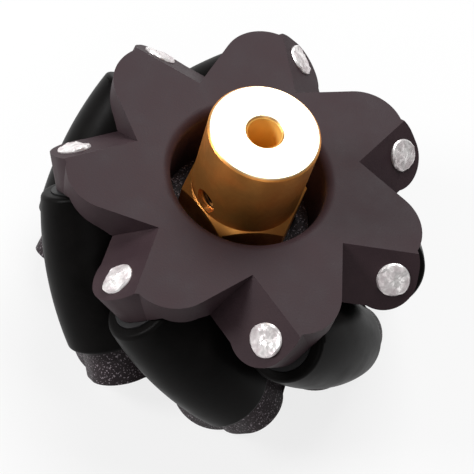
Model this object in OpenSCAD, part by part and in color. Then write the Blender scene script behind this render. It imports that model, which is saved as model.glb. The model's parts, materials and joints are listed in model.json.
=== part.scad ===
// Omni wheel with slanted barrel rollers: two lobed plates, seven rollers on
// steel pins, and a brass shaft coupling that stands out of the front plate.
// The wheel lies flat on its back plate. The axle is the Z axis.

/* [Wheel] */
// diameter over the roller crowns
wheel_d = 48; // [47.5:0.25:49]
// width over the two plates
wheel_w = 25.6; // [25:0.2:27]
// slant of the roller axes away from the axle, in degrees
roller_tilt = 45; // [44:0.5:46]

/* [Rollers] */
// least space between two neighbouring rollers
roller_space = 0.3; // [0.2:0.05:0.8]
// length of a roller's rubber
roller_l = 19.8; // [18.8:0.1:20.2]
// rounding of the rubber's two end edges
tyre_round = 0.6; // [0.3:0.1:1]
// diameter of the hard core inside the rubber
core_d = 7.2; // [6.4:0.1:7.8]
// how far the core stands out past the rubber at each end
core_lip = 0.15; // [0.05:0.05:0.3]
// play between a core and each ear
end_play = 0.1; // [0.05:0.01:0.2]
// radial running clearance of a core on its pin
pin_play = 0.05; // [0.02:0.01:0.09]

/* [Pins] */
// diameter of a roller pin
pin_d = 4; // [3.4:0.1:4.2]
// how far a pin stands out of each ear
pin_proud = 0.7; // [0.4:0.1:1]
// slant of the cropped faces at a pin's ends, in degrees
crop_tilt = 7; // [3:1:10]
// chamfer round a pin's ends
pin_chamfer = 0.3; // [0.1:0.05:0.4]
// radial gap of a pin in its ear, as drawn
pin_gap = 0.01; // [0.01:0.005:0.02]

/* [Plates] */
// thickness of the flat disc of a plate
web_t = 5; // [4.5:0.1:5.5]
// thickness of an ear along its pin
ear_t = 4.45; // [4:0.05:4.6]
// distance of the notch walls from the axle
notch_r = 11.35; // [11:0.05:11.4]
// wall left outside a pin in its ear
ear_wall = 0.9; // [0.7:0.05:1.1]
// radius of the lobes' round tips
lobe_round = 5.5; // [4.5:0.25:6]
// radius of an ear's round underside
ear_round = 3.9; // [3.6:0.05:4.4]
// height of an ear above its pin's axis where its shoulder starts to round
ear_rise = 1.3; // [1:0.1:2]
// depth of an ear's root below its pin's axis
ear_heel = 2.5; // [2:0.1:3]
// length of an ear's root behind its notch's wall
ear_root = 2; // [1.5:0.1:3]
// gap left round a roller in the plates
roller_gap = 0.4; // [0.3:0.05:0.6]
// outside diameter of the tube at a plate's centre
tube_d = 22.8; // [22.2:0.1:23.2]
// diameter of the round opening in the front plate
opening_d = 18.8; // [18.5:0.1:19.2]
// rounding of the opening's edge
opening_round = 1.2; // [0.5:0.1:1.4]
// radial gap between the pilot and the front plate's tube
pilot_gap = 0.1; // [0.05:0.05:0.2]
// height of the pilot above the joint between the plates
pilot_h = 3; // [2:0.1:4]

/* [Shaft coupling] */
// diameter of the coupling's round part
hub_d = 13.2; // [12.8:0.1:13.6]
// how much wider the foot is across its flats than the round part
hex_over = 0.2; // [0.1:0.05:0.5]
// how far the coupling stands out of the front plate
hub_out = 8.6; // [8:0.1:9.2]
// depth of the hexagonal foot's shoulder below the front plate
shoulder_down = 2.5; // [2:0.1:4]
// turn of the hexagon about the axle, in degrees
hex_turn = 10; // [0:1:60]
// gap between the foot and its socket, on each flat
hex_gap = 0.05; // [0.03:0.01:0.1]
// diameter of the shaft's hole
bore_d = 4; // [3:0.1:5]
// depth of the shaft's hole
bore_depth = 16; // [15:0.5:17]
// chamfer at the coupling's upper edges
hub_chamfer = 0.3; // [0.1:0.05:0.5]

/* [Screws] */
// thread diameter of the grub screw and of the retaining screw
thread_d = 3; // [2.5:0.1:3]
// height of the grub screw above the front plate's face
grub_up = -0.9; // [-0.9:0.1:1]
// depth of the grub screw's end below the coupling's surface
grub_sunk = 0.9; // [0.5:0.1:1.2]
// gap between the grub screw's tip and the shaft's hole
grub_back = 0.3; // [0.2:0.05:0.5]
// gap round a thread, as drawn
thread_gap = 0.02; // [0.01:0.01:0.05]
// diameter of the retaining screw's head
head_d = 5.6; // [5:0.1:6]
// height of that head
head_h = 1.8; // [1.4:0.1:2]
// diameter of the washer under it
washer_d = 7; // [6.6:0.1:8]
// thickness of the washer
washer_t = 0.5; // [0.4:0.05:0.8]
// depth of the round recess in the back face
recess_depth = 3; // [2.9:0.1:3.4]
// diameter of that recess
recess_d = 9; // [8.6:0.1:10]
// thickness of the floor that the screw clamps
floor_t = 3; // [2.5:0.1:3.5]
// length of the retaining screw's thread in the coupling
thread_l = 7; // [6:0.5:8]

/* [Hidden] */
roller_count = 7;
turn = 360 / roller_count;
mid_z = wheel_w / 2;
// spread of two neighbouring roller axes, square to both, per millimetre of radius
spread = 2 * sin(turn / 2) * sqrt(1 - pow(sin(roller_tilt) * cos(turn / 2), 2));
crown_r = (wheel_d / 2 * spread - roller_space) / (2 + spread);
axis_r = wheel_d / 2 - crown_r;
half_l = roller_l / 2;
core_half = half_l + core_lip;
// along a pin, from the wheel's middle plane: ear's inner face, outer face, pin's tip
ear_in = core_half + end_play;
ear_out = ear_in + ear_t;
pin_half = ear_out + pin_proud;
// a roller is a slice of the wheel's own cylinder, seen along its axis
end_r = sqrt(pow(wheel_d / 2, 2) - pow(half_l * sin(roller_tilt), 2)) - axis_r;
drop = crown_r - end_r;
crown_arc = (half_l * half_l + drop * drop) / (2 * drop);
// offsets from a pin's axis, along the wheel's radius
wall_x = notch_r - axis_r;
side_x = pin_d / 2 + ear_wall;
lobe_x = axis_r + side_x;
ear_mid = side_x - ear_round;
// centre of a lobe's round tip, whose flank faces the next notch
round_x = lobe_x - lobe_round;
round_y = (notch_r - lobe_round - round_x * cos(turn)) / sin(turn);
disc_r = sqrt(round_x * round_x + round_y * round_y) + lobe_round + 0.2;
// the coupling and what holds it
hub_top = wheel_w + hub_out;
hex_af = hub_d + hex_over;
floor_top = recess_depth + floor_t;
shoulder_z = wheel_w - shoulder_down;
pilot_top = mid_z + pilot_h;
// where the coupling's round barrel takes over from its hexagonal foot
barrel_z = (pilot_top + shoulder_z) / 2;
grub_z = wheel_w + grub_up;
grub_turn = hex_turn + 210;
thread_r = thread_d / 2;
hole_r = thread_r + thread_gap;
pilot_r = opening_d / 2 - pilot_gap;
far = 60;

// ---------- places ----------

// a roller's own frame: X outwards, Z along its pin towards the front
module at_roller(i) {
  rotate([0, 0, (i - 1) * turn])
    translate([axis_r, 0, mid_z])
      rotate([roller_tilt, 0, 0])
        children();
}

module each_roller() {
  for (i = [1 : roller_count])
    at_roller(i) children();
}

// ---------- rollers ----------

module barrel_half_section(r_crown, half, extra) {
  intersection() {
    translate([0, -half - extra])
      square([r_crown, 2 * (half + extra)]);
    translate([r_crown - crown_arc, 0])
      circle(r = crown_arc, $fn = 360);
  }
}

// a round edge is cut where the section's corner sits
module tyre_section() {
  difference() {
    barrel_half_section(crown_r, half_l, 0);
    for (s = [-1, 1])
      translate([end_r, s * half_l])
        difference() {
          translate([-tyre_round, -tyre_round])
            square(2 * tyre_round);
          translate([-tyre_round, -s * tyre_round])
            circle(r = tyre_round, $fn = 48);
          translate([-2 * tyre_round, -2 * tyre_round])
            square([tyre_round, 4 * tyre_round]);
          translate([-tyre_round - 0.1, -s * 2 * tyre_round - tyre_round])
            square([3 * tyre_round, 2 * tyre_round]);
        }
  }
}

module roller_tyre(i) {
  color([0.06, 0.06, 0.06])
    at_roller(i)
      difference() {
        rotate_extrude($fn = 96)
          tyre_section();
        cylinder(d = core_d, h = far, center = true, $fn = 64);
      }
}

module roller_core(i) {
  color([0.12, 0.12, 0.12])
    at_roller(i)
      difference() {
        cylinder(d = core_d - 0.02, h = 2 * core_half, center = true, $fn = 64);
        cylinder(r = pin_d / 2 + pin_play, h = far, center = true, $fn = 64);
      }
}

// ---------- pins ----------

// one slanted face of a cropped end
module crop(side, lean) {
  translate([0, 0, side * pin_half])
    rotate([0, 0, lean])
      rotate([-crop_tilt * side, 0, 0])
        translate([-pin_d, 0, side > 0 ? 0 : -pin_d])
          cube([2 * pin_d, pin_d, pin_d]);
}

module axle_pin(i) {
  color([0.8, 0.8, 0.82])
    at_roller(i)
      difference() {
        rotate_extrude($fn = 64)
          polygon([[0, -pin_half],
                   [pin_d / 2 - pin_chamfer, -pin_half],
                   [pin_d / 2, -pin_half + pin_chamfer],
                   [pin_d / 2, pin_half - pin_chamfer],
                   [pin_d / 2 - pin_chamfer, pin_half],
                   [0, pin_half]]);
        for (side = [-1, 1]) {
          crop(side, 90 + 37 * i);
          crop(side, 90 + 37 * i + 180);
        }
      }
}

// ---------- plates ----------

// an ear seen along its pin, X outwards
module ear_section() {
  root_x = wall_x - ear_root;
  shoulder_x = side_x - lobe_round;
  translate([ear_mid, 0])
    circle(r = ear_round, $fn = 96);
  polygon([[root_x, wheel_w],
           [root_x, -ear_heel],
           [wall_x, -ear_heel],
           [ear_mid, -ear_round],
           [ear_mid, 0],
           [side_x, 0],
           [side_x, ear_rise],
           [shoulder_x, ear_rise],
           [shoulder_x, wheel_w]]);
  translate([shoulder_x, ear_rise])
    intersection() {
      circle(r = lobe_round, $fn = 96);
      square(lobe_round);
    }
}

module ears() {
  intersection() {
    each_roller()
      translate([0, 0, ear_in])
        linear_extrude(height = ear_t)
          ear_section();
    translate([0, 0, mid_z])
      cylinder(r = far, h = mid_z, $fn = 64);
  }
}

// the open notch in front of each ear, whose wall is also the next lobe's flank
module notches() {
  each_roller()
    translate([wall_x, -far, ear_out])
      cube([far, 2 * far, far]);
}

// rounds each lobe from its flank over its tip to the next notch
module lobe_rounds() {
  reach = lobe_round + 2;
  for (i = [0 : roller_count - 1])
    rotate([0, 0, i * turn])
      translate([round_x, round_y, mid_z])
        linear_extrude(height = far)
          difference() {
            polygon([[0, 0],
                     [0, -2 * reach],
                     [reach, -2 * reach],
                     [reach, reach * tan(turn / 2)],
                     [reach * cos(turn), reach * sin(turn)]]);
            circle(r = lobe_round, $fn = 96);
          }
}

// room for each roller
module pockets() {
  each_roller()
    rotate_extrude($fn = 96)
      intersection() {
        translate([0, -far])
          square([crown_r + roller_gap, far + ear_in]);
        translate([crown_r + roller_gap - crown_arc, 0])
          circle(r = crown_arc, $fn = 360);
      }
}

module pin_holes() {
  each_roller()
    cylinder(r = pin_d / 2 + pin_gap, h = far, center = true, $fn = 64);
}

// everything the two plates share, with the flat face at the wheel's front
module plate_body(centre_r) {
  difference() {
    union() {
      difference() {
        translate([0, 0, wheel_w - web_t])
          cylinder(r = disc_r, h = web_t, $fn = 180);
        lobe_rounds();
      }
      translate([0, 0, mid_z])
        cylinder(d = tube_d, h = mid_z - 1, $fn = 128);
      ears();
    }
    notches();
    pockets();
    pin_holes();
    translate([0, 0, mid_z - 1])
      cylinder(r = centre_r, h = far, $fn = 128);
  }
}

module front_plate() {
  color([0.3, 0.26, 0.28])
    difference() {
      plate_body(opening_d / 2);
      translate([0, 0, wheel_w - opening_round])
        rotate_extrude($fn = 128)
          difference() {
            translate([opening_d / 2 - 0.5, 0])
              square([opening_round + 0.5, opening_round + 1]);
            translate([opening_d / 2 + opening_round, 0])
              circle(r = opening_round, $fn = 64);
          }
    }
}

module back_plate() {
  color([0.27, 0.24, 0.26])
    difference() {
      union() {
        translate([0, 0, mid_z])
          rotate([180, 0, 0])
            translate([0, 0, -mid_z])
              plate_body(opening_d / 2);
        cylinder(r = opening_d / 2 + 0.5, h = mid_z, $fn = 128);
        cylinder(r = pilot_r, h = pilot_top, $fn = 128);
      }
      translate([0, 0, -1])
        cylinder(d = recess_d, h = recess_depth + 1, $fn = 96);
      cylinder(d = thread_d + 0.4, h = far, center = true, $fn = 64);
      translate([0, 0, floor_top])
        foot_prism(hex_af + 2 * hex_gap, far);
    }
}

// ---------- shaft coupling and screws ----------

module foot_prism(af, h) {
  rotate([0, 0, hex_turn])
    cylinder(r = af / 2 / cos(30), h = h, $fn = 6);
}

module at_grub() {
  translate([0, 0, grub_z])
    rotate([0, 0, grub_turn])
      rotate([0, 90, 0])
        children();
}

module hub_coupling() {
  color([0.8, 0.62, 0.3])
    difference() {
      union() {
        rotate_extrude($fn = 128)
          polygon([
            [0, barrel_z],
            [hub_d / 2, barrel_z],
            [hub_d / 2, hub_top - hub_chamfer],
            [hub_d / 2 - hub_chamfer, hub_top],
            [0, hub_top]
          ]);
        intersection() {
          translate([0, 0, floor_top])
            foot_prism(hex_af, shoulder_z - floor_top);
          translate([0, 0, shoulder_z - far])
            cylinder(r1 = hub_d / 2 + far * 1.2, r2 = hub_d / 2, h = far, $fn = 128);
        }
      }
      translate([0, 0, hub_top - bore_depth])
        cylinder(d = bore_d, h = bore_depth + 1, $fn = 64);
      translate([0, 0, hub_top - hub_chamfer])
        cylinder(d1 = bore_d, d2 = bore_d + 2 * hub_chamfer + 0.02, h = hub_chamfer + 0.01,
                 $fn = 64);
      translate([0, 0, floor_top - 1])
        cylinder(r = hole_r, h = thread_l + 2, $fn = 64);
      at_grub()
        cylinder(r = hole_r, h = far, $fn = 48);
    }
}

module grub_screw() {
  tip = bore_d / 2 + grub_back;
  outer = hub_d / 2 - grub_sunk;
  color([0.25, 0.25, 0.27])
    at_grub()
      difference() {
        union() {
          translate([0, 0, tip])
            cylinder(r1 = thread_r * 0.6, r2 = thread_r, h = thread_r * 0.4, $fn = 48);
          translate([0, 0, tip + thread_r * 0.4])
            cylinder(r = thread_r, h = outer - tip - thread_r * 0.4, $fn = 48);
        }
        translate([0, 0, outer - 1.5])
          cylinder(d = thread_d * 0.55, h = 3, $fn = 6);
      }
}

module retaining_washer() {
  color([0.7, 0.7, 0.72])
    translate([0, 0, recess_depth - washer_t])
      difference() {
        cylinder(d = washer_d, h = washer_t, $fn = 64);
        cylinder(d = thread_d + 0.2, h = far, center = true, $fn = 64);
      }
}

module retaining_screw() {
  under = recess_depth - washer_t;
  color([0.6, 0.6, 0.62])
    difference() {
      union() {
        translate([0, 0, under - 0.01])
          cylinder(d = thread_d, h = floor_top + thread_l - under + 0.01, $fn = 48);
        translate([0, 0, under - head_h])
          rotate_extrude($fn = 64)
            difference() {
              square([head_d / 2, head_h]);
              translate([head_d / 2 - 0.5, -0.01])
                polygon([[0, 0], [0.6, 0], [0.6, 0.6]]);
            }
      }
      for (a = [0, 90])
        rotate([0, 0, a + 20])
          translate([-1.4, -0.35, 0])
            cube([2.8, 0.7, under - head_h + 1.1]);
    }
}

front_plate();
back_plate();
hub_coupling();
grub_screw();
retaining_screw();
retaining_washer();
axle_pin(1);  // axle_pin_1
axle_pin(2);  // axle_pin_2
axle_pin(3);  // axle_pin_3
axle_pin(4);  // axle_pin_4
axle_pin(5);  // axle_pin_5
axle_pin(6);  // axle_pin_6
axle_pin(7);  // axle_pin_7
roller_core(1);  // roller_core_1
roller_core(2);  // roller_core_2
roller_core(3);  // roller_core_3
roller_core(4);  // roller_core_4
roller_core(5);  // roller_core_5
roller_core(6);  // roller_core_6
roller_core(7);  // roller_core_7
roller_tyre(1);  // roller_tyre_1
roller_tyre(2);  // roller_tyre_2
roller_tyre(3);  // roller_tyre_3
roller_tyre(4);  // roller_tyre_4
roller_tyre(5);  // roller_tyre_5
roller_tyre(6);  // roller_tyre_6
roller_tyre(7);  // roller_tyre_7
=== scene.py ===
import json
import math

import bpy
import numpy as np
from mathutils import Matrix, Vector


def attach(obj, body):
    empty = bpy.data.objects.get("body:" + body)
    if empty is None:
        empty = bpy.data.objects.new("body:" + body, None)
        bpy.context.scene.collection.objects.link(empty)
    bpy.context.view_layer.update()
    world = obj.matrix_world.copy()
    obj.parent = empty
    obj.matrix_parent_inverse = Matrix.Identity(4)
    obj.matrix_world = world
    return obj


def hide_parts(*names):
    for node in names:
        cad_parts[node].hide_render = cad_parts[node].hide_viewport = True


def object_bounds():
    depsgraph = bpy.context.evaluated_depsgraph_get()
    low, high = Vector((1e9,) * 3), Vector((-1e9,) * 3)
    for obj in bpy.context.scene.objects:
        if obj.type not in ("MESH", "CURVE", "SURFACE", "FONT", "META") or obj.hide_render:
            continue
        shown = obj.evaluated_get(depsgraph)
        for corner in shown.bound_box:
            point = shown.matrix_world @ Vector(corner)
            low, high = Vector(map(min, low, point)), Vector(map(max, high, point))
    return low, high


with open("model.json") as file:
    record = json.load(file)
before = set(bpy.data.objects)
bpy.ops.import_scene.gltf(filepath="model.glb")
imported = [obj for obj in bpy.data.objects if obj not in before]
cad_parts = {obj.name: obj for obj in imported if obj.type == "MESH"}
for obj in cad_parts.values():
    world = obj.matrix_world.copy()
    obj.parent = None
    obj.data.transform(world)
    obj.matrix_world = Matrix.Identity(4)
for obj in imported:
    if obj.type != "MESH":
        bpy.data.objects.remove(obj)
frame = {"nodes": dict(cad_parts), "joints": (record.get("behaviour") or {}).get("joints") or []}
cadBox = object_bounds()
nodes = frame["nodes"]
scene = bpy.context.scene
rollerJoints = {joint["child"]: joint for joint in frame["joints"]}
print("frame loaded:", len(nodes), "parts,", len(rollerJoints), "rollers")


# small helpers for trees, meshes and places

def addSockets(tree, inputs, outputs):
    for name, kind, value in inputs:
        socket = tree.interface.new_socket(name, in_out="INPUT", socket_type=kind)
        if value is not None:
            socket.default_value = value
    for name, kind in outputs:
        tree.interface.new_socket(name, in_out="OUTPUT", socket_type=kind)
    return tree.nodes.new("NodeGroupInput"), tree.nodes.new("NodeGroupOutput")


def addNode(tree, kind, inputs=None, **settings):
    made = tree.nodes.new(kind)
    for name, value in settings.items():
        setattr(made, name, value)
    for name, value in (inputs or {}).items():
        if isinstance(value, bpy.types.NodeSocket):
            tree.links.new(value, made.inputs[name])
        else:
            made.inputs[name].default_value = value
    return made


def calc(tree, operation, first, second=0.0, third=None, clamp=False):
    inputs = {0: first, 1: second}
    if third is not None:
        inputs[2] = third
    made = addNode(tree, "ShaderNodeMath", inputs, operation=operation)
    made.use_clamp = clamp
    return made.outputs[0]


def distance(tree, first, second):
    squares = calc(tree, "ADD", calc(tree, "MULTIPLY", first, first), calc(tree, "MULTIPLY", second, second))
    return calc(tree, "SQRT", squares)


def spread(tree, value, low, high, outLow=0.0, outHigh=1.0):
    made = addNode(tree, "ShaderNodeMapRange", {
        "Value": value, "From Min": low, "From Max": high, "To Min": outLow, "To Max": outHigh})
    return made.outputs["Result"]


def blendColour(tree, mask, first, second):
    made = addNode(tree, "ShaderNodeMix", data_type="RGBA")
    for index, value in ((0, mask), (6, first), (7, second)):  # factor, A and B of a colour mix
        if isinstance(value, bpy.types.NodeSocket):
            tree.links.new(value, made.inputs[index])
        else:
            made.inputs[index].default_value = value if index == 0 else (*value, 1.0)
    return made.outputs[2]


def growPiece(name, tree, values, body, stands=()):
    holder = bpy.data.objects.new(name + "Holder", bpy.data.meshes.new(name + "Start"))
    scene.collection.objects.link(holder)
    modifier = holder.modifiers.new("grow", "NODES")
    modifier.node_group = tree
    for item in tree.interface.items_tree:
        if item.item_type == "SOCKET" and item.in_out == "INPUT" and item.name in values:
            modifier[item.identifier] = values[item.name]
    bpy.context.view_layer.update()
    ready = holder.evaluated_get(bpy.context.evaluated_depsgraph_get())
    mesh = bpy.data.meshes.new_from_object(ready)
    mesh.name = name
    holder.modifiers.remove(modifier)
    bpy.data.objects.remove(holder)
    piece = bpy.data.objects.new(name, mesh)
    scene.collection.objects.link(piece)
    for node in stands:
        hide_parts(node)
    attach(piece, body)
    return piece


def dressNode(node, material):
    nodes[node].material_slots[0].material = material


def sharpen(piece, angle):
    for face in piece.data.polygons:
        face.use_smooth = True
    piece.data.set_sharp_from_angle(angle=math.radians(angle))


# a roller's own place: x away from the axle, z along the pin
def rollerPlace(body):
    joint = rollerJoints[body]
    centre, along = Vector(joint["pos_m"]), Vector(joint["axis"]).normalized()
    outward = Vector((centre.x, centre.y, 0.0)).normalized()
    side = along.cross(outward)
    return Matrix((
        (outward.x, side.x, along.x, centre.x),
        (outward.y, side.y, along.y, centre.y),
        (outward.z, side.z, along.z, centre.z),
        (0.0, 0.0, 0.0, 1.0)))


def meshPoints(node):
    return np.array([vertex.co for vertex in nodes[node].data.vertices], float)


def localPoints(node, place):
    back = np.array(place.inverted())
    return meshPoints(node) @ back[:3, :3].T + back[:3, 3]


# camera, light and floor

cameraSetup = {
    "place": (-0.02418, -0.09936, 0.17049),
    "aim": (0.00086, -0.00123, 0.013),
    "roll": -20.25,
    "lens": 113.92,
    "sensor": 36.0,
}


def makeCamera(setup):
    data = bpy.data.cameras.new("viewCamera")
    data.lens, data.sensor_width = setup["lens"], setup["sensor"]
    data.clip_start, data.clip_end = 0.01, 20.0
    camera = bpy.data.objects.new("viewCamera", data)
    scene.collection.objects.link(camera)
    place = Vector(setup["place"])
    ahead = (Vector(setup["aim"]) - place).normalized()
    right = ahead.cross(Vector((0, 0, 1))).normalized()
    above = right.cross(ahead)
    roll = math.radians(setup["roll"])
    top = above * math.cos(roll) + right * math.sin(roll)
    hand = ahead.cross(top)
    camera.matrix_world = Matrix((
        (hand.x, top.x, -ahead.x, place.x),
        (hand.y, top.y, -ahead.y, place.y),
        (hand.z, top.z, -ahead.z, place.z),
        (0.0, 0.0, 0.0, 1.0)))
    scene.camera = camera
    return camera


makeCamera(cameraSetup)

lightSetup = {
    "sky": (1.0, 1.0, 1.0),
    "skyStrength": 0.16,
    "aimShare": 0.8,  # of the wheel's height
    "lamps": {
        "overhead": {"towards": (0.13, 0.54, 0.83), "distance": 0.50, "size": 0.30, "watts": 2.4},
        "left": {"towards": (-0.88, 0.00, 0.47), "distance": 0.50, "size": 0.15, "watts": 1.65},
        "front": {"towards": (0.05, -0.82, 0.56), "distance": 0.60, "size": 0.30, "watts": 0.36},
    },
}


def makeLamp(name, setup, aim):
    data = bpy.data.lights.new(name, "AREA")
    data.shape, data.size, data.energy = "SQUARE", setup["size"], setup["watts"]
    lamp = bpy.data.objects.new(name, data)
    scene.collection.objects.link(lamp)
    towards = Vector(setup["towards"]).normalized()
    lamp.location = Vector(aim) + towards * setup["distance"]
    lamp.rotation_euler = towards.to_track_quat("Z", "Y").to_euler()


def makeWorld(setup):
    world = bpy.data.worlds.new("softRoom")
    world.use_nodes = True
    sky = world.node_tree.nodes["Background"]
    sky.inputs["Color"].default_value = (*setup["sky"], 1.0)
    sky.inputs["Strength"].default_value = setup["skyStrength"]
    scene.world = world


makeWorld(lightSetup)
lampAim = (0.0, 0.0, cadBox[1][2] * lightSetup["aimShare"])
for lampName, lampSetup in lightSetup["lamps"].items():
    makeLamp(lampName + "Softbox", lampSetup, lampAim)

floorSetup = {
    "half": 2.5,
    "drop": 0.00001,  # keeps the floor and the plate's back face apart
    "colour": (0.80, 0.80, 0.80),
    "lift": 0.80,
}


def makeFloor(setup):
    half, level = setup["half"], cadBox[0][2] - setup["drop"]
    mesh = bpy.data.meshes.new("floor")
    corners = [(-half, -half, level), (half, -half, level), (half, half, level), (-half, half, level)]
    mesh.from_pydata(corners, [], [(0, 1, 2, 3)])
    floor = bpy.data.objects.new("floor", mesh)
    scene.collection.objects.link(floor)
    material = bpy.data.materials.new("paleFloor")
    material.use_nodes = True
    tree = material.node_tree
    tree.nodes.clear()
    rays = addNode(tree, "ShaderNodeLightPath")  # the lift is seen, but lights nothing
    seen = calc(tree, "MAXIMUM", rays.outputs["Is Camera Ray"], rays.outputs["Is Glossy Ray"])
    seen = calc(tree, "MAXIMUM", seen, rays.outputs["Is Transmission Ray"])
    lift = calc(tree, "MULTIPLY", seen, setup["lift"])
    matte = addNode(tree, "ShaderNodeBsdfDiffuse", {"Color": (*setup["colour"], 1.0)})
    white = addNode(tree, "ShaderNodeEmission", {"Color": (1.0, 1.0, 1.0, 1.0), "Strength": 1.0})
    mixed = addNode(tree, "ShaderNodeMixShader", {0: lift, 1: matte.outputs[0], 2: white.outputs[0]})
    addNode(tree, "ShaderNodeOutputMaterial", {"Surface": mixed.outputs[0]})
    mesh.materials.append(material)


makeFloor(floorSetup)
print("camera, lamps and floor are set")


# shared surface effects

def mouldedGrainGroup():
    tree = bpy.data.node_groups.new("mouldedGrain", "ShaderNodeTree")
    start, end = addSockets(tree, [
        ("Vector", "NodeSocketVector", None),
        ("Grain Scale", "NodeSocketFloat", 6000.0),
        ("Cloud Scale", "NodeSocketFloat", 260.0)], [
        ("Height", "NodeSocketFloat"), ("Clouds", "NodeSocketFloat"), ("Specks And Glints", "NodeSocketFloat")])
    place, grainScale, cloudScale = (start.outputs[n] for n in ("Vector", "Grain Scale", "Cloud Scale"))
    grain = addNode(tree, "ShaderNodeTexNoise", {
        "Vector": place, "Scale": grainScale, "Detail": 3.0, "Roughness": 0.6})
    clouds = addNode(tree, "ShaderNodeTexNoise", {
        "Vector": place, "Scale": cloudScale, "Detail": 4.0, "Roughness": 0.55})
    pits = addNode(tree, "ShaderNodeTexVoronoi", {
        "Vector": place, "Scale": calc(tree, "MULTIPLY", grainScale, 0.35)})
    pitted = spread(tree, pits.outputs["Distance"], 0.05, 0.35, 1.0, 0.0)
    height = calc(tree, "ADD", grain.outputs[0], calc(tree, "MULTIPLY", pitted, -0.5))
    tree.links.new(height, end.inputs["Height"])
    tree.links.new(spread(tree, clouds.outputs[0], 0.3, 0.7), end.inputs["Clouds"])
    # the grain's highest peaks, which the plates paint lighter: faint grain specks on the front plate,
    # painted glints on the back plate
    tree.links.new(spread(tree, grain.outputs[0], 0.58, 0.66), end.inputs["Specks And Glints"])
    return tree


def turnedRingsGroup():
    tree = bpy.data.node_groups.new("turnedRings", "ShaderNodeTree")
    start, end = addSockets(tree, [
        ("Vector", "NodeSocketVector", None),
        ("Ring Scale", "NodeSocketFloat", 9000.0),
        ("Along Scale", "NodeSocketFloat", 9000.0)], [
        ("Height", "NodeSocketFloat"), ("Tarnish", "NodeSocketFloat")])
    parts = addNode(tree, "ShaderNodeSeparateXYZ", {0: start.outputs["Vector"]})
    radius = distance(tree, parts.outputs[0], parts.outputs[1])
    rings = addNode(tree, "ShaderNodeCombineXYZ", {
        0: calc(tree, "MULTIPLY", radius, start.outputs["Ring Scale"]),
        1: calc(tree, "MULTIPLY", parts.outputs[2], start.outputs["Along Scale"])})
    tool = addNode(tree, "ShaderNodeTexNoise", {
        "Vector": rings.outputs[0], "Scale": 1.0, "Detail": 2.0, "Roughness": 0.6})
    stain = addNode(tree, "ShaderNodeTexNoise", {
        "Vector": start.outputs["Vector"], "Scale": 330.0, "Detail": 5.0, "Roughness": 0.6,
        "Distortion": 0.4})
    tree.links.new(tool.outputs[0], end.inputs["Height"])
    tree.links.new(spread(tree, stain.outputs[0], 0.38, 0.72), end.inputs["Tarnish"])
    return tree


def fineScratchesGroup():
    tree = bpy.data.node_groups.new("fineScratches", "ShaderNodeTree")
    start, end = addSockets(tree, [
        ("Vector", "NodeSocketVector", None),
        ("Across", "NodeSocketFloat", 7000.0),
        ("Lengthways", "NodeSocketFloat", 600.0)], [
        ("Height", "NodeSocketFloat"), ("Wear", "NodeSocketFloat")])
    stretch = addNode(tree, "ShaderNodeCombineXYZ", {
        0: start.outputs["Across"], 1: start.outputs["Across"], 2: start.outputs["Lengthways"]})
    placed = addNode(tree, "ShaderNodeVectorMath", {
        0: start.outputs["Vector"], 1: stretch.outputs[0]}, operation="MULTIPLY")
    lines = addNode(tree, "ShaderNodeTexNoise", {
        "Vector": placed.outputs[0], "Scale": 1.0, "Detail": 3.0, "Roughness": 0.7})
    rubbed = addNode(tree, "ShaderNodeTexNoise", {
        "Vector": start.outputs["Vector"], "Scale": 420.0, "Detail": 4.0, "Roughness": 0.6})
    tree.links.new(lines.outputs[0], end.inputs["Height"])
    tree.links.new(spread(tree, rubbed.outputs[0], 0.4, 0.68), end.inputs["Wear"])
    return tree


mouldedGrain = mouldedGrainGroup()
turnedRings = turnedRingsGroup()
fineScratches = fineScratchesGroup()


def startMaterial(name, shaderValues):
    material = bpy.data.materials.new(name)
    material.use_nodes = True
    tree = material.node_tree
    shader = tree.nodes["Principled BSDF"]
    for socket, value in shaderValues.items():
        shader.inputs[socket].default_value = value
    return material, tree, shader


def objectCoordinates(tree):
    return addNode(tree, "ShaderNodeTexCoord").outputs["Object"]


def partCoordinates(tree):
    return addNode(tree, "ShaderNodeAttribute", attribute_name="partPlace").outputs["Vector"]


def fillGroup(tree, group, inputs):
    made = tree.nodes.new("ShaderNodeGroup")
    made.node_tree = group
    for name, value in inputs.items():
        if isinstance(value, bpy.types.NodeSocket):
            tree.links.new(value, made.inputs[name])
        else:
            made.inputs[name].default_value = value
    return made


def addBump(tree, shader, height, strength, distance):
    bump = addNode(tree, "ShaderNodeBump", {"Height": height, "Strength": strength, "Distance": distance})
    tree.links.new(bump.outputs[0], shader.inputs["Normal"])


def paint(tree, shader, colour):
    tree.links.new(colour, shader.inputs["Base Color"])


def roughen(tree, shader, mask, limits):
    tree.links.new(spread(tree, mask, 0.0, 1.0, *limits), shader.inputs["Roughness"])


# finishes

frontFinish = {
    "colour": (0.031, 0.017, 0.021),
    "pale": (0.044, 0.026, 0.030),
    "roughness": (0.50, 0.62),
    "gloss": 0.17,
    "grainScale": 5200.0,
    "grainDepth": 0.00004,
    "bump": 0.35,
    "speckAndGlint": (0.040, 0.024, 0.028),
}
# the back plate is the same plastic as the front, painted about half as bright: painted shade at the back of
# the wheel; its grain and roughness are its own
backShadedFinish = {
    "colour": (0.014, 0.009, 0.011),
    "pale": (0.024, 0.015, 0.018),
    "roughness": (0.42, 0.56),
    "gloss": 0.20,
    "grainScale": 4200.0,
    "grainDepth": 0.00006,
    "bump": 0.9,
    # bright specks on the grain's peaks: painted glints of light
    "speckAndGlint": (0.34, 0.29, 0.32),
}


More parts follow.
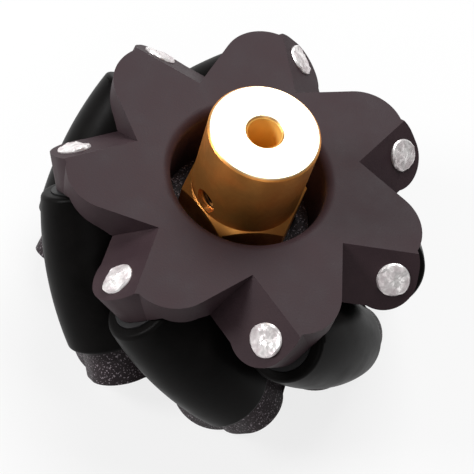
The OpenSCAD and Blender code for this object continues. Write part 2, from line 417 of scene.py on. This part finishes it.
def platePlastic(name, finish):
    material, tree, shader = startMaterial(name, {"Specular IOR Level": finish["gloss"]})
    grain = fillGroup(tree, mouldedGrain, {
        "Vector": objectCoordinates(tree), "Grain Scale": finish["grainScale"]})
    plain = blendColour(tree, grain.outputs["Clouds"], finish["colour"], finish["pale"])
    # the grain's peaks take the speck colour: painted glints on the back plate, faint grain specks on the
    # front plate
    paint(tree, shader, blendColour(tree, grain.outputs["Specks And Glints"], plain, finish["speckAndGlint"]))
    roughen(tree, shader, grain.outputs["Clouds"], finish["roughness"])
    addBump(tree, shader, grain.outputs["Height"], finish["bump"], finish["grainDepth"])
    return material


rubberFinish = {
    "colour": (0.0030, 0.0027, 0.0026),
    "rubbed": (0.0060, 0.0054, 0.0052),
    "roughness": (0.34, 0.46),
    "gloss": 0.10,
    "index": 1.3,
    "grainScale": 3800.0,
    "cloudScale": 300.0,
    "grainDepth": 0.00003,
    "bump": 0.12,
}


def rollerRubber(finish):
    material, tree, shader = startMaterial("rollerRubber", {
        "Specular IOR Level": finish["gloss"], "IOR": finish["index"]})
    grain = fillGroup(tree, mouldedGrain, {
        "Vector": partCoordinates(tree), "Grain Scale": finish["grainScale"],
        "Cloud Scale": finish["cloudScale"]})
    paint(tree, shader, blendColour(tree, grain.outputs["Clouds"], finish["colour"], finish["rubbed"]))
    roughen(tree, shader, grain.outputs["Clouds"], finish["roughness"])
    addBump(tree, shader, grain.outputs["Height"], finish["bump"], finish["grainDepth"])
    return material


coreFinish = {
    "colour": (0.010, 0.010, 0.011),
    "pale": (0.020, 0.019, 0.020),
    "roughness": 0.5,
    "gloss": 0.4,
    "grainScale": 6500.0,
    "grainDepth": 0.00003,
    "bump": 0.25,
}


def corePlastic(finish):
    material, tree, shader = startMaterial("corePlastic", {
        "Specular IOR Level": finish["gloss"], "Roughness": finish["roughness"]})
    grain = fillGroup(tree, mouldedGrain, {
        "Vector": objectCoordinates(tree), "Grain Scale": finish["grainScale"]})
    paint(tree, shader, blendColour(tree, grain.outputs["Clouds"], finish["colour"], finish["pale"]))
    addBump(tree, shader, grain.outputs["Height"], finish["bump"], finish["grainDepth"])
    return material


pinFinish = {
    # near-white steel with metallic lowered: painted highlight for the pins' glare; dull is the worn tone,
    # placed by the random wear mask
    "bright": (1.00, 0.97, 0.96),
    "dull": (0.60, 0.50, 0.52),
    "roughness": (0.28, 0.48),
    "metal": 0.45,
    "scratchScale": 5200.0,
    "scratchDepth": 0.00003,
    "bump": 0.3,
}


def pinSteel(finish):
    material, tree, shader = startMaterial("pinSteel", {"Metallic": finish["metal"]})
    scratches = fillGroup(tree, fineScratches, {
        "Vector": partCoordinates(tree), "Across": finish["scratchScale"],
        "Lengthways": finish["scratchScale"]})
    wear = scratches.outputs["Wear"]
    paint(tree, shader, blendColour(tree, wear, finish["bright"], finish["dull"]))
    roughen(tree, shader, wear, finish["roughness"])
    addBump(tree, shader, scratches.outputs["Height"], finish["bump"], finish["scratchDepth"])
    return material


brassFinish = {
    "bright": (0.97, 0.44, 0.11),
    "tarnish": (0.74, 0.25, 0.05),
    # pale end-face colour: painted glare on the top face, lighter than the brass side
    "topGlare": (0.95, 0.80, 0.52),
    # paler brass with metallic lowered inside the bore: painted light caught in the bore
    "bore": (1.00, 0.62, 0.16),
    "roughness": (0.34, 0.50),
    "metal": 0.88,
    "boreMetal": 0.15,
    "boreMargin": 0.0001,
    "boreDepth": 0.001,  # below the end face, where the bore is measured
    "topGlareEdge": (0.00016, 0.00006),  # below the end face, from the side colour to the pale top: painted glare
    "toolDepth": 0.00002,
    "bump": 0.25,
}


def turnedBrass(finish, endFaceHeight, boreRadius):
    material, tree, shader = startMaterial("turnedBrass", {})
    place = objectCoordinates(tree)
    rings = fillGroup(tree, turnedRings, {"Vector": place})
    stain = rings.outputs["Tarnish"]
    across, deep, height = addNode(tree, "ShaderNodeSeparateXYZ", {0: place}).outputs
    # the end face is painted pale: painted glare on the top
    topGlare = spread(tree, height, *(endFaceHeight - edge for edge in finish["topGlareEdge"]))
    # inside the bore the colour is paler and the metallic low: painted light
    inBore = calc(tree, "LESS_THAN", distance(tree, across, deep), boreRadius + finish["boreMargin"])
    side = blendColour(tree, stain, finish["bright"], finish["tarnish"])
    side = blendColour(tree, inBore, side, finish["bore"])
    metal = spread(tree, inBore, 0.0, 1.0, finish["metal"], finish["boreMetal"])
    tree.links.new(metal, shader.inputs["Metallic"])
    paint(tree, shader, blendColour(tree, topGlare, side, finish["topGlare"]))
    roughen(tree, shader, stain, finish["roughness"])
    addBump(tree, shader, rings.outputs["Height"], finish["bump"], finish["toolDepth"])
    return material


blackFinish = {
    "bright": (0.10, 0.095, 0.10),
    "dull": (0.05, 0.045, 0.05),
    "roughness": (0.30, 0.45),
    "scratchDepth": 0.00002,
    "bump": 0.2,
}
zincFinish = {
    "bright": (0.66, 0.66, 0.68),
    "dull": (0.48, 0.47, 0.47),
    "roughness": (0.28, 0.42),
    "scratchDepth": 0.00002,
    "bump": 0.2,
}


def plainSteel(name, finish):
    material, tree, shader = startMaterial(name, {"Metallic": 1.0})
    scratches = fillGroup(tree, fineScratches, {"Vector": objectCoordinates(tree)})
    wear = scratches.outputs["Wear"]
    paint(tree, shader, blendColour(tree, wear, finish["bright"], finish["dull"]))
    roughen(tree, shader, wear, finish["roughness"])
    addBump(tree, shader, scratches.outputs["Height"], finish["bump"], finish["scratchDepth"])
    return material


def hubBoreRadius(depth):
    points = meshPoints("hub_coupling")
    nearEnd = points[points[:, 2] > points[:, 2].max() - depth]
    return float(np.hypot(nearEnd[:, 0], nearEnd[:, 1]).min())


frontPlastic = platePlastic("frontPlatePlastic", frontFinish)
# the back plate takes the darker copy of the plastic: painted shade
backShadedPlastic = platePlastic("backPlateShadedPlastic", backShadedFinish)
rubber = rollerRubber(rubberFinish)
coreMaterial = corePlastic(coreFinish)
pinMaterial = pinSteel(pinFinish)
brass = turnedBrass(brassFinish, cadBox[1][2], hubBoreRadius(brassFinish["boreDepth"]))
blackSteel = plainSteel("blackenedSteel", blackFinish)
zincSteel = plainSteel("zincSteel", zincFinish)
print("finishes are ready")


# these pieces keep the frame's own surfaces
ownSurfaces = {
    "front_plate": frontPlastic,
    "back_plate": backShadedPlastic,
    "hub_coupling": brass,
    "grub_screw": blackSteel,
    "retaining_screw": zincSteel,
    "retaining_washer": zincSteel,
}
for node, material in ownSurfaces.items():
    dressNode(node, material)
for body in rollerJoints:
    dressNode("roller_core_" + body.split("_")[1], coreMaterial)
print("plates, coupling, screws and cores are dressed")


# the end of every tree: keeps each point's own place for the finishes, then moves the piece
def finishTree(tree, start, end, geometry, materialInput):
    position = addNode(tree, "GeometryNodeInputPosition").outputs[0]
    kept = addNode(tree, "GeometryNodeStoreNamedAttribute", {
        "Geometry": geometry, "Name": "partPlace", "Value": position},
        data_type="FLOAT_VECTOR", domain="POINT")
    placed = addNode(tree, "GeometryNodeTransform", {
        "Geometry": kept.outputs[0], "Translation": start.outputs["Centre"],
        "Rotation": start.outputs["Turn"]})
    smooth = addNode(tree, "GeometryNodeSetShadeSmooth", {"Geometry": placed.outputs[0]})
    real = addNode(tree, "GeometryNodeRealizeInstances", {"Geometry": smooth.outputs[0]})
    painted = addNode(tree, "GeometryNodeSetMaterial", {
        "Geometry": real.outputs[0], "Material": start.outputs[materialInput]})
    tree.links.new(painted.outputs[0], end.inputs[0])
    return tree


# barrel rollers

rollerSetup = {
    "segments": 112,
    "steps": 44,
    "edgeRound": 0.0008,
    "boreRound": 0.0001,
    "roundSteps": 7,
    "sharpAngle": 50.0,
}


def barrelRollerTree():
    tree = bpy.data.node_groups.new("barrelRoller", "GeometryNodeTree")
    start, end = addSockets(tree, [
        ("Geometry", "NodeSocketGeometry", None),
        ("Half Length", "NodeSocketFloat", 0.0092),
        ("Crown Radius", "NodeSocketFloat", 0.0059),
        ("End Radius", "NodeSocketFloat", 0.0049),
        ("Bore Radius", "NodeSocketFloat", 0.0036),
        ("Edge Round", "NodeSocketFloat", 0.0008),
        ("Steps", "NodeSocketInt", 40),
        ("Segments", "NodeSocketInt", 96),
        ("Round Steps", "NodeSocketInt", 6),
        ("Centre", "NodeSocketVector", None),
        ("Turn", "NodeSocketRotation", None),
        ("Rubber", "NodeSocketMaterial", None)], [("Geometry", "NodeSocketGeometry")])
    half, crown, bore = (start.outputs[n] for n in ("Half Length", "Crown Radius", "Bore Radius"))
    steps = start.outputs["Steps"]
    drop = calc(tree, "SUBTRACT", crown, start.outputs["End Radius"])
    chord = calc(tree, "ADD", calc(tree, "MULTIPLY", half, half), calc(tree, "MULTIPLY", drop, drop))
    arc = calc(tree, "DIVIDE", chord, calc(tree, "MULTIPLY", drop, 2.0))  # the barrel's long radius
    line = addNode(tree, "GeometryNodeCurvePrimitiveLine")
    points = addNode(tree, "GeometryNodeResampleCurve", {"Curve": line.outputs[0], "Count": steps})
    index = addNode(tree, "GeometryNodeInputIndex").outputs[0]
    # the first and last points lie on the bore, the others run along the barrel
    past = calc(tree, "SUBTRACT", index, 1.0)
    share = calc(tree, "DIVIDE", past, calc(tree, "SUBTRACT", steps, 3.0), clamp=True)
    along = calc(tree, "MULTIPLY", calc(tree, "MULTIPLY_ADD", share, 2.0, -1.0), half)
    square = calc(tree, "SUBTRACT", calc(tree, "MULTIPLY", arc, arc), calc(tree, "MULTIPLY", along, along))
    rise = calc(tree, "SQRT", square)
    outer = calc(tree, "SUBTRACT", calc(tree, "ADD", calc(tree, "SUBTRACT", crown, arc), rise), bore)
    atStart = calc(tree, "LESS_THAN", index, 0.5)
    atEnd = calc(tree, "GREATER_THAN", index, calc(tree, "SUBTRACT", steps, 1.5))
    isBore = calc(tree, "ADD", atStart, atEnd)
    height = calc(tree, "MULTIPLY", outer, calc(tree, "SUBTRACT", 1.0, isBore))
    spot = addNode(tree, "ShaderNodeCombineXYZ", {0: height, 1: along})
    shaped = addNode(tree, "GeometryNodeSetPosition", {
        "Geometry": points.outputs[0], "Position": spot.outputs[0]})
    closed = addNode(tree, "GeometryNodeSetSplineCyclic", {"Geometry": shaped.outputs[0], "Cyclic": True})
    # the barrel's two corners get the large round, the bore's edges the small one
    inner = calc(tree, "LESS_THAN", calc(tree, "ABSOLUTE", calc(tree, "SUBTRACT", share, 0.5)), 0.4999)
    corner = calc(tree, "SUBTRACT", calc(tree, "SUBTRACT", 1.0, inner), isBore)
    radius = calc(tree, "ADD", calc(tree, "MULTIPLY", corner, start.outputs["Edge Round"]),
                  calc(tree, "MULTIPLY", isBore, rollerSetup["boreRound"]))
    rounded = addNode(tree, "GeometryNodeFilletCurve", {
        "Curve": closed.outputs[0], "Count": start.outputs["Round Steps"], "Radius": radius,
        "Limit Radius": True}, mode="POLY")
    path = addNode(tree, "GeometryNodeCurvePrimitiveCircle", {
        "Resolution": start.outputs["Segments"], "Radius": bore})
    lathe = addNode(tree, "GeometryNodeCurveToMesh", {
        "Curve": path.outputs[0], "Profile Curve": rounded.outputs[0]})
    return finishTree(tree, start, end, lathe.outputs[0], "Rubber")


rollerTree = barrelRollerTree()
for body in sorted(rollerJoints):
    number = body.split("_")[1]
    place = rollerPlace(body)
    local = localPoints("roller_tyre_" + number, place)
    away = np.hypot(local[:, 0], local[:, 1])
    half = float(local[:, 2].max())
    crown, bore = float(away.max()), float(away.min())
    wheelRadius = math.hypot(*rollerJoints[body]["pos_m"][:2]) + crown
    tilt = math.acos(place.col[2].z)
    # every point of the barrel touches the wheel's rolling circle
    endRadius = math.sqrt(wheelRadius ** 2 - (half * math.sin(tilt)) ** 2) - (wheelRadius - crown)
    piece = growPiece("barrelTyre" + number, rollerTree, {
        "Half Length": half, "Crown Radius": crown, "End Radius": endRadius, "Bore Radius": bore,
        "Edge Round": rollerSetup["edgeRound"], "Steps": rollerSetup["steps"],
        "Segments": rollerSetup["segments"], "Round Steps": rollerSetup["roundSteps"],
        "Centre": place.to_translation(), "Turn": place.to_euler(), "Rubber": rubber},
        body, ("roller_tyre_" + number,))
    sharpen(piece, rollerSetup["sharpAngle"])
print("rollers are turned")


# pins, roughly cropped at both ends

pinSetup = {
    "sides": 56,
    "rings": 12,
    "chamfer": 0.00016,
    "slope": 7.0,
    "firstRidge": -90.0,
    "ridgeStep": -37.0,
    "dent": 0.00030,
    "dentScale": 800.0,
    "chip": 0.00012,
    "chipScale": 2100.0,
    "seedStep": 3.7,
    "sharpAngle": 30.0,
}


def croppedPinTree():
    tree = bpy.data.node_groups.new("croppedPin", "GeometryNodeTree")
    start, end = addSockets(tree, [
        ("Geometry", "NodeSocketGeometry", None),
        ("Radius", "NodeSocketFloat", 0.002),
        ("Half Length", "NodeSocketFloat", 0.015),
        ("Chamfer", "NodeSocketFloat", 0.0002),
        ("Slope", "NodeSocketFloat", 0.12),
        ("Ridge Angle", "NodeSocketFloat", 0.0),
        ("Dent", "NodeSocketFloat", 0.0001),
        ("Chip", "NodeSocketFloat", 0.00003),
        ("Seed", "NodeSocketFloat", 0.0),
        ("Sides", "NodeSocketInt", 48),
        ("Rings", "NodeSocketInt", 10),
        ("Centre", "NodeSocketVector", None),
        ("Turn", "NodeSocketRotation", None),
        ("Steel", "NodeSocketMaterial", None)], [("Geometry", "NodeSocketGeometry")])
    radius, half = start.outputs["Radius"], start.outputs["Half Length"]
    rod = addNode(tree, "GeometryNodeMeshCylinder", {
        "Vertices": start.outputs["Sides"], "Side Segments": 3, "Fill Segments": start.outputs["Rings"],
        "Radius": radius, "Depth": calc(tree, "MULTIPLY", half, 2.0)}, fill_type="TRIANGLE_FAN")
    position = addNode(tree, "GeometryNodeInputPosition").outputs[0]
    parts = addNode(tree, "ShaderNodeSeparateXYZ", {0: position})
    x, y, z = parts.outputs
    away = distance(tree, x, y)
    onEnd = calc(tree, "GREATER_THAN", calc(tree, "ABSOLUTE", z), calc(tree, "MULTIPLY", half, 0.999))
    onRim = calc(tree, "GREATER_THAN", away, calc(tree, "MULTIPLY", radius, 0.995))
    ridge = start.outputs["Ridge Angle"]
    across = calc(tree, "ADD", calc(tree, "MULTIPLY", x, calc(tree, "SINE", ridge)),
                  calc(tree, "MULTIPLY", y, calc(tree, "COSINE", ridge)))
    crop = calc(tree, "MULTIPLY", calc(tree, "ABSOLUTE", across), start.outputs["Slope"])
    dents = addNode(tree, "ShaderNodeTexNoise", {
        "Vector": position, "W": start.outputs["Seed"], "Scale": pinSetup["dentScale"],
        "Detail": 2.0, "Roughness": 0.5}, noise_dimensions="4D")
    chips = addNode(tree, "ShaderNodeTexVoronoi", {
        "Vector": position, "W": start.outputs["Seed"], "Scale": pinSetup["chipScale"]},
        voronoi_dimensions="4D")
    sunk = calc(tree, "MULTIPLY", spread(tree, dents.outputs[0], 0.35, 0.68), start.outputs["Dent"])
    chipped = calc(tree, "MULTIPLY", spread(tree, chips.outputs["Distance"], 0.0, 0.7), start.outputs["Chip"])
    chamfered = calc(tree, "MULTIPLY", onRim, start.outputs["Chamfer"])
    loss = calc(tree, "ADD", calc(tree, "ADD", crop, sunk), calc(tree, "ADD", chipped, chamfered))
    outwardLoss = calc(tree, "MULTIPLY", loss, calc(tree, "SIGN", z))
    shift = calc(tree, "MULTIPLY", outwardLoss, calc(tree, "MULTIPLY", onEnd, -1.0))  # only ever inwards
    offset = addNode(tree, "ShaderNodeCombineXYZ", {2: shift})
    cropped = addNode(tree, "GeometryNodeSetPosition", {
        "Geometry": rod.outputs[0], "Offset": offset.outputs[0]})
    return finishTree(tree, start, end, cropped.outputs[0], "Steel")


pinTree = croppedPinTree()
for body in sorted(rollerJoints):
    number = int(body.split("_")[1])
    place = rollerPlace(body)
    local = localPoints("axle_pin_%d" % number, place)
    piece = growPiece("croppedPin%d" % number, pinTree, {
        "Radius": float(np.hypot(local[:, 0], local[:, 1]).max()), "Half Length": float(local[:, 2].max()),
        "Chamfer": pinSetup["chamfer"], "Slope": math.tan(math.radians(pinSetup["slope"])),
        "Ridge Angle": math.radians(pinSetup["firstRidge"] + pinSetup["ridgeStep"] * number),
        "Dent": pinSetup["dent"], "Chip": pinSetup["chip"], "Seed": pinSetup["seedStep"] * number,
        "Sides": pinSetup["sides"], "Rings": pinSetup["rings"],
        "Centre": place.to_translation(), "Turn": place.to_euler(), "Steel": pinMaterial},
        "root", ("axle_pin_%d" % number,))
    sharpen(piece, pinSetup["sharpAngle"])
print("pins are cropped")


# the thread cut in the coupling's side, seen above the grub screw
threadSetup = {"pitch": 0.0005, "depth": 0.00016, "mouthMargin": 0.0002, "steps": 40}


def threadHelixTree():
    tree = bpy.data.node_groups.new("threadHelix", "GeometryNodeTree")
    start, end = addSockets(tree, [
        ("Geometry", "NodeSocketGeometry", None),
        ("Hole Radius", "NodeSocketFloat", 0.0015),
        ("Length", "NodeSocketFloat", 0.0006),
        ("Pitch", "NodeSocketFloat", 0.0005),
        ("Depth", "NodeSocketFloat", 0.00016),
        ("Steps Per Turn", "NodeSocketInt", 40),
        ("Centre", "NodeSocketVector", None),
        ("Turn", "NodeSocketRotation", None),
        ("Metal", "NodeSocketMaterial", None)], [("Geometry", "NodeSocketGeometry")])
    radius, depth = start.outputs["Hole Radius"], start.outputs["Depth"]
    spiral = addNode(tree, "GeometryNodeCurveSpiral", {
        "Resolution": start.outputs["Steps Per Turn"],
        "Rotations": calc(tree, "DIVIDE", start.outputs["Length"], start.outputs["Pitch"]),
        "Start Radius": radius, "End Radius": radius, "Height": start.outputs["Length"]})
    ridge = addNode(tree, "GeometryNodeCurvePrimitiveCircle", {"Resolution": 3, "Radius": depth})
    swept = addNode(tree, "GeometryNodeCurveToMesh", {
        "Curve": spiral.outputs[0], "Profile Curve": ridge.outputs[0], "Fill Caps": True})
    return finishTree(tree, start, end, swept.outputs[0], "Metal")


def cutThread(setup):
    screw, hub = meshPoints("grub_screw"), meshPoints("hub_coupling")
    middle = (screw.min(0) + screw.max(0)) / 2
    outward = np.array([middle[0], middle[1], 0.0])
    outward /= np.linalg.norm(outward)
    screwRadius = (screw[:, 2].max() - screw[:, 2].min()) / 2
    screwEnd = (screw @ outward).max()
    high = hub[hub[:, 2] > middle[2] + screwRadius]
    barrel = np.hypot(high[:, 0], high[:, 1]).max()
    mouth = math.sqrt(barrel ** 2 - screwRadius ** 2) - setup["mouthMargin"]
    across = Vector((-outward[1], outward[0], 0.0))
    offset = screw @ np.array(across)
    centre = Vector(outward) * screwEnd + across * float((offset.min() + offset.max()) / 2)
    centre.z = middle[2]
    growPiece("grubThread", threadHelixTree(), {
        "Hole Radius": float(screwRadius), "Length": float(mouth - screwEnd), "Pitch": setup["pitch"],
        "Depth": setup["depth"], "Steps Per Turn": setup["steps"], "Centre": centre,
        "Turn": Vector(outward).to_track_quat("Z", "Y").to_euler(), "Metal": brass},
        "root")


cutThread(threadSetup)
print("thread is cut")

scene.view_settings.view_transform = "Standard"
